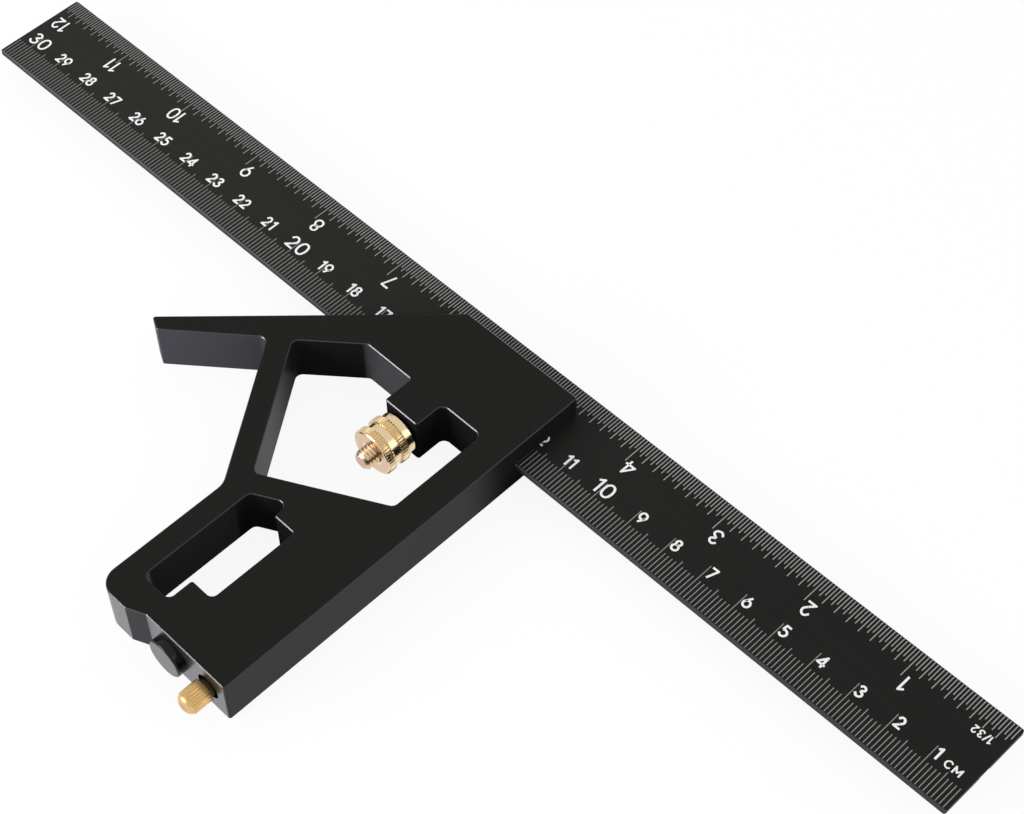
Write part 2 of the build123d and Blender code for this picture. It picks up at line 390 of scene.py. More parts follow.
class Finish:
    """A procedural material on object coordinates."""

    def __init__(self, name, **sockets):
        self.material = bpy.data.materials.new(name)
        self.material.use_nodes = True
        self.tree = self.material.node_tree
        self.shader = self.tree.nodes["Principled BSDF"]
        self.surface = self.shader.outputs[0]
        self.settings(sockets)

    def settings(self, sockets):
        """Sets the shader's own sockets, named with underscores."""
        for socket, value in sockets.items():
            self.shader.inputs[socket.replace("_", " ").title().replace("Ior", "IOR")].default_value = value

    def over(self, share, **sockets):
        """Lays a second shader over the first by a share, and sets that one from here on."""
        blend = self.node("ShaderNodeMixShader")
        self.plug(blend.inputs[0], share)
        self.plug(blend.inputs[1], self.surface)
        self.shader = self.node("ShaderNodeBsdfPrincipled")
        self.settings(sockets)
        self.plug(blend.inputs[2], self.shader.outputs[0])
        self.surface = blend.outputs[0]
        self.plug(self.tree.nodes["Material Output"].inputs["Surface"], self.surface)

    def node(self, kind, settings=None, **sockets):
        """Adds a node with its settings, and values or links for its sockets."""
        added = self.tree.nodes.new(kind)
        for name, value in (settings or {}).items():
            setattr(added, name, value)
        for name, value in sockets.items():
            self.plug(added.inputs[name.replace("_", " ")], value)
        return added

    def plug(self, socket, value):
        """Links an output to a socket, or sets the socket's own value."""
        if isinstance(value, Value):
            value = value.output
        if isinstance(value, bpy.types.NodeSocket):
            self.tree.links.new(value, socket)
        else:
            socket.default_value = value

    def maths(self, operation, *terms):
        """A Math node on one or two terms."""
        added = self.node("ShaderNodeMath", {"operation": operation})
        for socket, term in zip(added.inputs, terms):
            self.plug(socket, term)
        return Value(self, added.outputs[0])

    def between(self, value, low, high):
        """0 at low and beyond, 1 at high and beyond, and smooth between them, whichever is larger."""
        added = self.node("ShaderNodeMapRange", {"interpolation_type": "SMOOTHSTEP"}, Value=value)
        added.inputs["From Min"].default_value = low
        added.inputs["From Max"].default_value = high
        return Value(self, added.outputs["Result"])

    def place(self, origin=(0, 0, 0), scale=(1, 1, 1)):
        """Object coordinates from an origin, stretched."""
        here = self.node("ShaderNodeTexCoord").outputs["Object"]
        offset = self.node("ShaderNodeVectorMath", {"operation": "SUBTRACT"})
        self.plug(offset.inputs[0], here)
        self.plug(offset.inputs[1], origin)
        spread = self.node("ShaderNodeVectorMath", {"operation": "MULTIPLY"})
        self.plug(spread.inputs[0], offset.outputs[0])
        self.plug(spread.inputs[1], scale)
        return spread.outputs[0]

    def axes(self, vector):
        """The three numbers of a vector."""
        parts = self.node("ShaderNodeSeparateXYZ")
        self.plug(parts.inputs[0], vector)
        return [Value(self, output) for output in parts.outputs]

    def facing(self):
        """The surface's own direction in object coordinates."""
        return self.axes(self.node("ShaderNodeTexCoord").outputs["Normal"])

    def noise(self, scale, detail=3.0, rough=0.5, stretch=(1, 1, 1)):
        """Cloudy noise from 0 to 1."""
        added = self.node(
            "ShaderNodeTexNoise", Vector=self.place(scale=stretch), Scale=scale,
            Detail=detail, Roughness=rough,
        )
        return Value(self, added.outputs[0])

    def mix(self, share, first, second):
        """One colour into another by a share."""
        added = self.node("ShaderNodeMix", {"data_type": "RGBA"})
        self.plug(added.inputs[0], share)
        for socket, value in ((added.inputs[6], first), (added.inputs[7], second)):
            self.plug(socket, value if isinstance(value, bpy.types.NodeSocket) else (*value[:3], 1.0))
        return added.outputs[2]

    def relief(self, height, depth):
        """Bumps on the surface, of that depth where the height is 1."""
        bump = self.node("ShaderNodeBump", Height=height, Strength=1.0, Distance=depth)
        self.plug(self.shader.inputs["Normal"], bump.outputs[0])

    def set(self, socket, value):
        """Links or sets one of the shader's sockets."""
        self.plug(self.shader.inputs[socket], value)


# How dull a black coat is at a glance, as its Specular IOR Level.
DULL = 0.085
# Painted highlight along the rule's lower edge, near its zero end and far from it, and the coat on its
# sides.
EDGE_HIGHLIGHT_NEAR = (0.055, 0.055, 0.055)
EDGE_HIGHLIGHT_FAR = (0.13, 0.13, 0.13)
SIDES_DARK = (0.012, 0.012, 0.012)
SIDES_LIGHT = (0.03, 0.03, 0.03)
# Tool rings on turned brass, and what is left of its red, green and blue on a face towards -Y, as painted
# shade.
RING_PITCH = 0.11 * MM
FACE_SHADE_SHARE = (0.80, 0.70, 0.78)
# Across the strut's long walls, seen from above.
STRUT_ACROSS = (0.8202, 0.5721)

# Bands on the head over which painted light and shade fade in, in millimetres: x from the 90 degree face, y
# from the rule's lower edge.
END_SHEEN_Y = (-79.0, -81.0)
ARM_SHEEN_X = (-44.0, -82.0)
FACE_SHADE_Y = (-50.0, -5.0)
FACE_MATT_SHADE_Y = (-16.0, -2.0)
STRUT_MATT_SHADE_Y = (-36.0, -12.0)

# The same for the painted shade on the walls inside the windows, by the side of the head that bounds them.
FACE_SIDE_X = (-3.5, -4.5)
END_SIDE_Y = (-79.5, -78.5)
RULE_SIDE_Y = (-1.8, -2.2)
BACK_SIDE_X = (-37.0, -36.0)
STRUT_SIDE = (-58.5, -56.5)
ARM_SIDE = (-51.5, -49.5)
BRIDGE_Y = (-3.4, -2.8)
BRIDGE_X = (-29.0, -31.0)


def window_walls(f, x, y, glancing):
    """The share of dark matt coat, painted shade, on the walls inside the head's windows."""
    across_strut = x * STRUT_ACROSS[0] + y * STRUT_ACROSS[1]
    stock = f.maths("MAXIMUM", f.between(x, *BACK_SIDE_X) * 0.8, f.between(across_strut, *STRUT_SIDE))
    inside = f.between(x, *FACE_SIDE_X) * f.between(y, *END_SIDE_Y) * f.between(y, *RULE_SIDE_Y)
    inside = inside * f.between(x - y, *ARM_SIDE) * stock
    return inside * (1 - glancing) * (1 - f.between(y, *BRIDGE_Y) * f.between(x, *BRIDGE_X))


def head_finish(look):
    """Black coat, matt on the flat sides, with painted light and shade on the walls: lighter walls, end
    faces and arm, lighter broken edges that are partly a thinner coat, and darker on the +X face, beside the
    rule and inside the windows.
    """
    f = Finish(
        "head_black_anodised", base_color=(*look.head_colour, 1), roughness=look.head_gloss,
        specular_ior_level=DULL,
    )
    x, y, _ = f.axes(f.place(scale=(1000, 1000, 1000)))
    out_x, out_y, out_z = f.facing()
    up = f.maths("ABSOLUTE", out_z)
    grain = f.noise(5200.0, 2.0, 0.6)
    clouds = f.noise(45.0, 3.0)
    f.set("Base Color", f.mix(clouds * 0.5, look.head_colour, [c * 1.25 for c in look.head_colour]))
    f.set("Roughness", (clouds - 0.5) * 0.08 + (grain - 0.5) * 0.08 + look.head_gloss)
    f.relief(grain, 0.003 * MM)

    # Walls lighter than the flat sides: painted sheen.
    walls = f.between(up, 0.9, 0.8)
    f.over(walls, base_color=(*look.wall_colour, 1), roughness=0.4, specular_ior_level=DULL)
    speck = f.noise(2600.0, 2.0, 0.6)
    # Lighter, metallic broken edges, dimmed where they face +X: partly a thinner coat, partly painted
    # highlight.
    edge = f.between(up, 0.5, 0.6)
    lit_edge = edge * (1 - f.between(out_x, 0.1, 0.5) * 0.8)
    long_face = f.between(out_x, 0.8, 0.95)
    # End faces lighter and metallic: a blasted coat with a painted highlight of the key softbox.
    end = f.between(y, *END_SHEEN_Y) * f.between(out_y, -0.25, -0.6) * f.between(out_x, 0.36, 0.2)
    coat_and_light = f.mix(clouds, look.wall_colour, [c * 1.2 for c in look.wall_colour])
    # The arm's back wall lighter: painted reflection of the lit floor.
    coat_and_light = f.mix(f.between(x, *ARM_SHEEN_X), coat_and_light, [c * 2.0 for c in look.wall_colour])
    # The +X face darker, most of all near the rule: painted shade.
    coat_and_light = f.mix(long_face * f.between(y, *FACE_SHADE_Y), coat_and_light, look.head_colour)
    coat_and_light = f.mix(long_face * 0.6, coat_and_light, look.head_colour)
    coat_and_light = f.mix(end, coat_and_light, look.end_colour)
    f.set("Base Color", f.mix(lit_edge, coat_and_light, look.edge_colour))
    f.set("Metallic", lit_edge * 0.8 + end * 0.9)
    f.set("Roughness", speck * 0.1 + 0.38 - edge * 0.12 - end * 0.14)
    f.relief(speck, 0.006 * MM)

    # Dark matt coat inside the windows, on the strut's wall and beside the rule: painted shade.
    glancing = f.between(out_x * STRUT_ACROSS[0] + out_y * STRUT_ACROSS[1], 0.85, 0.95)
    beside_rule = long_face * f.between(y, *FACE_MATT_SHADE_Y)
    corner = f.maths("MAXIMUM", beside_rule, glancing * f.between(y, *STRUT_MATT_SHADE_Y) * 0.9)
    matt_shade = f.maths("MAXIMUM", window_walls(f, x, y, glancing), corner) * f.between(up, 0.4, 0.3)
    f.over(matt_shade, base_color=(*look.window_colour, 1), roughness=0.6, specular_ior_level=0.0)
    f.set("Base Color", f.mix(speck, [c * 0.8 for c in look.window_colour], look.window_colour))
    return f.material


def rule_finish(look):
    """Satin black steel, brushed along its length, lighter towards its far end as painted sheen, with a
    painted highlight along its lower edge.
    """
    f = Finish(
        "rule_satin_black", base_color=(*look.rule_colour, 1), roughness=0.42, specular_ior_level=DULL,
    )
    x, y, _ = f.axes(f.place())
    up = f.maths("ABSOLUTE", f.facing()[2])
    brushing = f.noise(900.0, 3.0, 0.6, (0.03, 1.0, 1.0))
    grain = f.noise(6000.0, 2.0, 0.6)
    # The rule lighter towards its far end: painted sheen.
    far = f.between(x, 90 * MM, -170 * MM)
    coat_and_light = f.mix(far, look.rule_colour, [c * 3.0 for c in look.rule_colour])
    coat_and_light = f.mix(brushing, coat_and_light, [c * 1.8 for c in look.rule_colour])
    # A lighter strip along the lower edge, lighter still far off: painted highlight.
    lower_edge_strip = f.between(y, RULE_LOW.y + 0.5 * MM, RULE_LOW.y + 0.3 * MM)
    lighter_mark = f.mix(far, EDGE_HIGHLIGHT_NEAR, EDGE_HIGHLIGHT_FAR)
    f.set("Base Color", f.mix(lower_edge_strip, coat_and_light, lighter_mark))
    f.set("Roughness", (brushing - 0.5) * 0.14 + (grain - 0.5) * 0.06 + 0.42)
    f.relief(brushing * 0.6 + grain * 0.4, 0.002 * MM)
    sides = f.between(up, 0.9, 0.6)
    f.over(sides, base_color=(0.02, 0.02, 0.02, 1), roughness=0.4, specular_ior_level=DULL)
    f.set("Base Color", f.mix(brushing, SIDES_DARK, SIDES_LIGHT))
    return f.material


def print_finish(name, shade, far_share=1.0):
    """Matt paint of the lines or numbers, with a share of its shade left at the rule's far end."""
    f = Finish(name, base_color=(*shade, 1), roughness=0.55)
    paint = f.mix(f.noise(3500.0), [c * 0.86 for c in shade], shade)
    far = f.between(f.axes(f.place())[0], 0.0, -160 * MM)
    f.set("Base Color", f.mix(far, paint, [c * far_share for c in shade]))
    return f.material


def brass_finish(name, shade, x, z, roughness=0.17, shadow=1.0):
    """Bright turned brass, with fine tool rings round an axis along Y, painted shade beyond a place along it
    and darker on faces towards -Y.
    """
    f = Finish(name, base_color=(*shade, 1), metallic=1.0, roughness=roughness)
    across, along, up = f.axes(f.place((x, 0, z)))
    radius = f.maths("SQRT", across * across + up * up)
    rings = f.maths("SINE", (radius + along) * (2 * pi / RING_PITCH))
    tarnish = f.noise(420.0, 4.0, 0.6)
    # Near black beyond the shadow place, in the knob's neck: painted shade.
    painted_shade = f.between(along, shadow - 0.3 * MM, shadow)
    # Faces towards -Y darker and pinker: painted shade of the darker surroundings they reflect.
    face = f.between(f.facing()[1], -0.9, -0.98)
    coat_and_light = f.mix(tarnish, shade, [c * 0.9 for c in shade])
    coat_and_light = f.mix(face, coat_and_light, [c * left for c, left in zip(shade, FACE_SHADE_SHARE)])
    f.set("Base Color", f.mix(painted_shade, coat_and_light, [c * 0.12 for c in shade]))
    f.set("Roughness", tarnish * 0.12 + roughness - 0.06)
    f.relief(rings, 0.0012 * MM)
    return f.material


def steel_finish(name, look, roughness):
    """Drawn or ground steel."""
    f = Finish(name, base_color=(*look.steel_colour, 1), metallic=1.0, roughness=roughness)
    f.set("Roughness", f.noise(2500.0, 3.0, 0.6, (1.0, 0.1, 1.0)) * 0.15 + roughness)
    return f.material


def plug_finish(look):
    """Black plastic, glossy round its side, its face grey as a painted reflection of the bright floor,
    speckled at random.
    """
    f = Finish(
        "plug_black_plastic", base_color=(*look.plug_colour, 1), roughness=0.2, specular_ior_level=0.25,
    )
    face = f.between(f.facing()[1], -0.75, -0.95)
    grain = f.noise(4200.0, 3.0, 0.7)
    # The face's grey: painted reflection of the bright floor, speckled at random.
    f.over(face, base_color=(*look.plug_face, 1), roughness=0.5)
    lighter_mark = f.between(grain, 0.35, 0.65)
    f.set("Base Color", f.mix(lighter_mark, [c * 0.7 for c in look.plug_face], look.plug_face))
    f.relief(grain, 0.006 * MM)
    return f.material


class SETSQUARE_OT_finishes(Operator):
    """Give every solid its finish"""

    bl_idname = "setsquare.finishes"
    bl_label = "Finishes"

    def execute(self, context):
        look = context.scene.set_square_finish
        bolt_x, bolt_z = axis_of(BOLT_LOW, BOLT_HIGH)
        knob_x, _ = axis_of(KNOB_LOW, KNOB_HIGH)
        neck_end = KNOB_HIGH.y - KNOB_GRIP_START
        finishes = {
            "head": head_finish(look),
            "rule": rule_finish(look),
            "clamp_bolt": brass_finish("bolt_brass", look.bolt_colour, bolt_x, bolt_z, 0.31),
            "clamp_nut": brass_finish("nut_brass", look.brass_colour, bolt_x, bolt_z),
            "scriber_knob": brass_finish("knob_brass", look.knob_colour, knob_x, bolt_z, 0.32, neck_end),
            "scriber_sleeve": brass_finish("sleeve_brass", look.knob_colour, knob_x, bolt_z, 0.3),
            "scriber_needle": steel_finish("needle_steel", look, 0.16),
            "clamp_spring": steel_finish("spring_steel", look, 0.28),
            "end_plug": plug_finish(look),
        }
        for node, material in finishes.items():
            NODES[node].data.materials.clear()
            NODES[node].data.materials.append(material)
            smooth(NODES[node], 30)
        return {"FINISHED"}


# ---- Graduations ------------------------------------------------------------------------------------------

# Strokes of each sign, as points across and up a sign of height 1: (smooth, closed, points).
SIGNS = {
    "0": [(True, True, [(0.31, 0.93), (0.06, 0.5), (0.31, 0.07), (0.56, 0.5)])],
    "1": [(False, False, [(0.06, 0.74), (0.30, 0.93), (0.30, 0.0)])],
    "2": [
        (True, False, [(0.08, 0.70), (0.31, 0.92), (0.53, 0.68), (0.38, 0.38)]),
        (False, False, [(0.40, 0.41), (0.11, 0.09), (0.60, 0.09)]),
    ],
    "3": [
        (True, False, [(0.08, 0.78), (0.29, 0.93), (0.49, 0.74), (0.27, 0.54)]),
        (True, False, [(0.27, 0.54), (0.54, 0.30), (0.29, 0.07), (0.05, 0.25)]),
    ],
    "4": [(False, False, [(0.47, 0.0), (0.47, 0.91), (0.05, 0.28), (0.66, 0.28)])],
    "5": [
        (False, False, [(0.53, 0.93), (0.17, 0.93), (0.12, 0.54)]),
        (True, False, [(0.12, 0.54), (0.32, 0.60), (0.55, 0.33), (0.28, 0.07), (0.05, 0.22)]),
    ],
    "6": [
        (True, True, [(0.31, 0.61), (0.06, 0.335), (0.31, 0.06), (0.56, 0.335)]),
        (False, False, [(0.10, 0.45), (0.38, 0.94)]),
    ],
    "7": [(False, False, [(0.05, 0.91), (0.54, 0.91), (0.22, 0.0)])],
    "8": [
        (True, True, [(0.31, 0.93), (0.12, 0.74), (0.31, 0.55), (0.50, 0.74)]),
        (True, True, [(0.31, 0.55), (0.07, 0.31), (0.31, 0.07), (0.55, 0.31)]),
    ],
    "9": [
        (True, True, [(0.31, 0.39), (0.06, 0.665), (0.31, 0.94), (0.56, 0.665)]),
        (False, False, [(0.52, 0.55), (0.24, 0.06)]),
    ],
    "C": [(True, False, [(0.66, 0.76), (0.40, 0.93), (0.07, 0.5), (0.40, 0.07), (0.66, 0.24)])],
    "M": [(False, False, [(0.08, 0.0), (0.08, 0.90), (0.42, 0.30), (0.76, 0.90), (0.76, 0.0)])],
    "/": [(False, False, [(0.04, -0.05), (0.38, 1.0)])],
}
SIGN_WIDTH = {"1": 0.50, "C": 0.92, "M": 1.06, "/": 0.54}
WIDTH = 0.74
SPACE = 0.10
SIGN_FLATNESS = 0.06
# A round joint between straight strokes, as shares of the pen's width.
JOINT_RADIUS = 0.46
JOINT_DEPTH = 0.87

# How far a number stands beside its line, towards the zero end.
SINGLE_ASIDE = 0.38 * MM
DOUBLE_ASIDE = 0.1 * MM
TWELVE_ASIDE = 1.1 * MM
TENS_ASIDE = 0.3 * MM
INCH_SINGLE_ASIDE = 2.0 * MM
INCH_DOUBLE_ASIDE = 0.2 * MM
INCH_LAST_ASIDE = 4.0 * MM
# The numbers 10, 20 and 30 stand a little lower and wider.
TENS_DROP = 0.5 * MM
TENS_STRETCH = 1.1
# Places of the unit letters, from the zero end.
METRIC_UNIT_MIDDLE = 4.68 * MM
METRIC_UNIT_STRETCH = 1.13
INCH_UNIT_MIDDLE = 5.43 * MM
INCH_UNIT_RISE = 0.85 * MM
# Shades of the lines: how much lighter the inch lines are, and what is left at the rule's far end.
INCH_LINE_SHADE = 1.55
METRIC_FAR_SHARE = 0.8
INCH_FAR_SHARE = 0.75


def sign(character, pen):
    """One sign of height 1 as flat strokes of the pen's width, its lower left corner at the origin."""
    strokes = []
    for rounded, closed, points in SIGNS[character]:
        if rounded:
            strokes.append(line(points, cyclic=closed, smooth=True, width=pen))
            continue
        strokes += [line(pair, width=pen) for pair in zip(points, points[1:])]
        for across, up in points[1:-1]:
            deselect()
            bpy.ops.mesh.primitive_cylinder_add(
                vertices=16, radius=JOINT_RADIUS * pen, depth=JOINT_DEPTH * pen, location=(across, up, 0.0),
            )
            strokes.append(settle(bpy.context.object))
    return stretch(join(*strokes), 1.0, 1.0, SIGN_FLATNESS)


def sign_width(text):
    """Width of a row of signs of height 1."""
    return sum(SIGN_WIDTH.get(character, WIDTH) for character in text) - SPACE


class Lettering:
    """Makes each sign once and sets copies of it in rows."""

    def __init__(self):
        self.first = {}
        self.rows = []

    def write(self, text, x, y, height, pen, upside_down=False, widen=1.0):
        """Sets a row of signs centred on x, its foot at y, or hanging from y when upside down."""
        across = -sign_width(text) / 2
        for character in text:
            drawn = (character, pen / height)
            if drawn not in self.first:
                self.first[drawn] = sign(*drawn)
            letter = copy_of(self.first[drawn])
            move(letter, (across, 0, 0))
            stretch(letter, height * widen, height, height)
            if upside_down:
                turn(letter, pi, "Z")
            move(letter, (x, y, RULE_TOP))
            self.rows.append(letter)
            across += SIGN_WIDTH.get(character, WIDTH)

    def done(self):
        """All rows as one mesh; the first signs are removed."""
        pick(*self.first.values())
        bpy.ops.object.delete()
        return join(*self.rows)


def graduation(lengths, pitch, width, edge, inward, height, end):
    """A group of lines inward from a line near the rule's edge, one for each length."""
    lines = []
    for count, span in enumerate(lengths):
        deselect()
        bpy.ops.mesh.primitive_cube_add(
            size=1, location=(end - (count + 1) * pitch, edge + inward * span / 2, RULE_TOP),
            scale=(width, span, 2 * height),
        )
        lines.append(settle(bpy.context.object))
    return join(*lines)


def graduations(lengths, pitch, width, edge, inward, height, groups, rest):
    """Groups of lines along the whole rule, and what is left of one at its end."""
    first = graduation(lengths, pitch, width, edge, inward, height, ZERO_END)
    span = len(lengths) * pitch
    last_end = ZERO_END - groups * span
    last = graduation(lengths[:rest], pitch, width, edge, inward, height, last_end)
    modifier(
        first, "ARRAY", count=groups, use_relative_offset=False, use_constant_offset=True,
        constant_offset_displace=(-span, 0.0, 0.0),
    )
    return join(first, last)


class SETSQUARE_OT_metric_scale(Operator):
    """Add the millimetre lines and the centimetre numbers"""

    bl_idname = "setsquare.metric_scale"
    bl_label = "Metric Scale"

    def execute(self, context):
        scale = context.scene.set_square_scale
        look = context.scene.set_square_finish
        fives = [scale.millimetre] * 4
        lengths = fives + [scale.half_centimetre] + fives + [scale.centimetre]
        edge = RULE_LOW.y + scale.metric_gap
        lines = graduations(
            lengths, MM, scale.line_width, edge, 1, scale.raise_height, CENTIMETRES, LAST_MILLIMETRES,
        )
        grey = print_finish("metric_line_grey", look.tick_colour, METRIC_FAR_SHARE)
        finish_piece(lines, "metric_lines", "rule", grey)
        letters = Lettering()
        foot = RULE_LOW.y + scale.metric_foot
        for number in range(1, CENTIMETRES + 1):
            x = ZERO_END - number * 10 * MM
            text = str(number)
            if number % 10 == 0:
                letters.write(
                    text, x + TENS_ASIDE, foot - TENS_DROP, scale.tens_height, scale.number_pen,
                    widen=TENS_STRETCH,
                )
                continue
            aside = TWELVE_ASIDE if number == 12 else DOUBLE_ASIDE
            if number < 10:
                aside = SINGLE_ASIDE + sign_width(text) * scale.metric_height / 2
            letters.write(text, x + aside, foot, scale.metric_height, scale.number_pen)
        letters.write(
            "CM", ZERO_END - METRIC_UNIT_MIDDLE, foot, scale.unit_height, scale.unit_pen,
            widen=METRIC_UNIT_STRETCH,
        )
        white = print_finish("metric_white", look.print_colour)
        finish_piece(letters.done(), "metric_numbers", "rule", white)
        return {"FINISHED"}


class SETSQUARE_OT_inch_scale(Operator):
    """Add the 1/32 inch lines and the inch numbers"""

    bl_idname = "setsquare.inch_scale"
    bl_label = "Inch Scale"

    def execute(self, context):
        scale = context.scene.set_square_scale
        look = context.scene.set_square_finish
        lengths = []
        for count in range(1, INCH_PARTS + 1):
            if count == INCH_PARTS:
                lengths.append(scale.inch)
            elif count % 4 == 0:
                lengths.append(scale.eighth)
            elif count % 2 == 0:
                lengths.append(scale.sixteenth)
            else:
                lengths.append(scale.thirty_second)
        edge = RULE_HIGH.y - scale.inch_gap
        lines = graduations(
            lengths, INCH / INCH_PARTS, scale.fine_width, edge, -1, scale.raise_height, INCHES - 1,
            INCH_PARTS - 1,
        )
        shade = [c * INCH_LINE_SHADE for c in look.tick_colour]
        grey = print_finish("inch_line_grey", shade, INCH_FAR_SHARE)
        finish_piece(lines, "inch_lines", "rule", grey)
        letters = Lettering()
        foot = RULE_HIGH.y - scale.inch_foot
        for number in range(1, INCHES + 1):
            aside = INCH_SINGLE_ASIDE if number < 10 else INCH_DOUBLE_ASIDE
            if number == INCHES:
                aside = INCH_LAST_ASIDE
            x = ZERO_END - number * INCH + aside
            letters.write(str(number), x, foot, scale.inch_height, scale.number_pen, upside_down=True)
        letters.write(
            "1/32", ZERO_END - INCH_UNIT_MIDDLE, foot + INCH_UNIT_RISE, scale.unit_height, scale.unit_pen,
            upside_down=True,
        )
        white = print_finish("inch_white", look.print_colour)
        finish_piece(letters.done(), "inch_numbers", "rule", white)
        return {"FINISHED"}


# ---- Clamp and scriber ----------------------------------------------------------------------------------


# How deep each corner of a straight tooth lies, as a share of the tooth's depth.
TOOTH_DROPS = (0, 0, 0.55, 1, 1, 0.55)
ROUNDED_STEPS = 8
# The thread's flanks, as (share of its depth, share of its pitch).
THREAD_OUTLINE = ((0, 0.0), (0, 0.10), (1, 0.44), (1, 0.56), (0, 0.90), (0, 1.0))
THREAD_RADIUS = 2.5 * MM
THREAD_STEPS = 48
# Turns made beyond the thread's length, which the two cuts take off again.
SPARE_TURNS = 3
# How far inside the nut the real thread begins.
THREAD_INSET = 2 * MM
# How far the cone that points the bolt's end reaches beyond the thread's crest.
POINT_REACH = 1.5 * MM


def toothed_band(radius, depth, teeth, span, hole, rounded=False):
    """A knurled band standing on height 0 round Z, with a hole through it."""
    per_tooth = ROUNDED_STEPS if rounded else len(TOOTH_DROPS)
    deselect()
    bpy.ops.mesh.primitive_circle_add(vertices=per_tooth * teeth, radius=radius, fill_type="NGON")
    band = bpy.context.object
    for step in range(per_tooth):
        share = step / per_tooth
        drop = (1 - cos(2 * pi * share)) / 2 if rounded else TOOTH_DROPS[step]
        if not drop:
            continue
        pick(band)
        bpy.ops.object.mode_set(mode="EDIT")
        bpy.ops.mesh.select_all(action="DESELECT")
        bpy.ops.object.mode_set(mode="OBJECT")
        for vertex in band.data.vertices:
            vertex.select = vertex.index % per_tooth == step
        bpy.ops.object.mode_set(mode="EDIT")
        scale = 1 - depth * drop / radius
        bpy.ops.transform.resize(value=(scale, scale, 1))
        bpy.ops.object.mode_set(mode="OBJECT")
    pick(band)
    bpy.ops.object.mode_set(mode="EDIT")
    bpy.ops.mesh.select_all(action="SELECT")
    bpy.ops.mesh.extrude_region_move(TRANSFORM_OT_translate={"value": (0, 0, span)})
    bpy.ops.object.mode_set(mode="OBJECT")
    clean(band)
    modifier(band, "BEVEL", width=0.07 * MM, segments=2, limit_method="ANGLE", angle_limit=radians(80))
    return cut_with(band, lathe([(0, -span), (hole, -span), (hole, 2 * span), (0, 2 * span)]))


def cut_with(obj, tool, operation="DIFFERENCE"):
    """Cuts a solid with another, which is then removed."""
    modifier(obj, "BOOLEAN", operation=operation, object=tool, solver="EXACT")
    pick(tool)
    bpy.ops.object.delete()
    return obj


class SETSQUARE_OT_clamp_bolt(Operator):
    """Cut the thread of the clamp bolt"""

    bl_idname = "setsquare.clamp_bolt"
    bl_label = "Clamp Bolt"

    def execute(self, context):
        clamp = context.scene.set_square_clamp
        x, z = axis_of(BOLT_LOW, BOLT_HIGH)
        crest = THREAD_RADIUS
        root = crest - clamp.thread_depth
        thread_start = NUT_HIGH.y - THREAD_INSET
        thread_length = thread_start - BOLT_LOW.y
        turns = int(thread_length / clamp.pitch) + SPARE_TURNS
        pitch = clamp.pitch
        thread = line([
            (root + rise * clamp.thread_depth, 0.0, share * pitch) for rise, share in THREAD_OUTLINE
        ])
        modifier(
            thread, "SCREW", axis="Z", angle=2 * pi, screw_offset=pitch, iterations=turns,
            steps=THREAD_STEPS, render_steps=THREAD_STEPS, use_merge_vertices=True, merge_threshold=TINY,
        )
        move(clean(thread), (0, 0, -1.5 * pitch))
        bisect(thread, (0, 0, 0), (0, 0, -1))
        bisect(thread, (0, 0, thread_length), (0, 0, 1))
        clean(thread)
        wide = crest + POINT_REACH
        cone_start = thread_length - clamp.tip_chamfer - POINT_REACH
        tip = crest - clamp.tip_chamfer
        point = lathe([
            (0, -MM), (wide, -MM), (wide, cone_start), (tip, thread_length), (0, thread_length),
        ])
        cut_with(thread, point, "INTERSECT")
        along_y(thread, x, thread_start, z)
        shank = copy_of(NODES["clamp_bolt"])
        for key in list(shank.keys()):
            del shank[key]
        shank.parent = None
        clean(shank)
        bisect(shank, (0, thread_start, 0), (0, -1, 0))
        bolt = smooth(join(thread, shank), 30)
        material = NODES["clamp_bolt"].data.materials[0]
        finish_piece(bolt, "clamp_bolt_threaded", "clamp_bolt", material, ["clamp_bolt"])
        return {"FINISHED"}


class SETSQUARE_OT_clamp_nut(Operator):
    """Add the knurled clamp nut"""

    bl_idname = "setsquare.clamp_nut"
    bl_label = "Clamp Nut"

    def execute(self, context):
        clamp = context.scene.set_square_clamp
        x, z = axis_of(NUT_LOW, NUT_HIGH)
        span = (NUT_HIGH.y - NUT_LOW.y) / MM
        radius = (NUT_HIGH.x - NUT_LOW.x) / 2 / MM
        hub = [(2.55, 0.3), (2.85, 0.0), (3.9, 0.0), (4.0, 0.1), (4.0, 0.75)]
        shoulder = [(5.1, 0.75), (5.3, 0.95), (5.3, 2.65), (5.2, 2.8), (5.2, 2.95)]
        groove = [(5.35, 3.1), (5.35, span - 0.55)]
        nose = [
            (radius - 0.28, span - 0.32), (radius - 0.5, span - 0.05), (radius - 0.62, span),
            (3.2, span), (3.0, span - 0.08), (2.55, span - 0.5),
        ]
        outline = [(across * MM, along * MM) for across, along in hub + shoulder + groove + nose]
        core = lathe(outline, 3 * clamp.nut_teeth)
        bands = []
        for start in NUT_BAND_STARTS:
            band = toothed_band(
                radius * MM, clamp.nut_tooth_depth, clamp.nut_teeth, NUT_BAND_LENGTH, NUT_BAND_HOLE,
            )
            bands.append(move(band, (0, 0, start)))
        nut = smooth(join(core, *bands), 28)
        along_y(nut, x, NUT_HIGH.y, z)
        material = NODES["clamp_nut"].data.materials[0]
        finish_piece(nut, "clamp_nut_knurled", "clamp_nut", material, ["clamp_nut"])
        return {"FINISHED"}


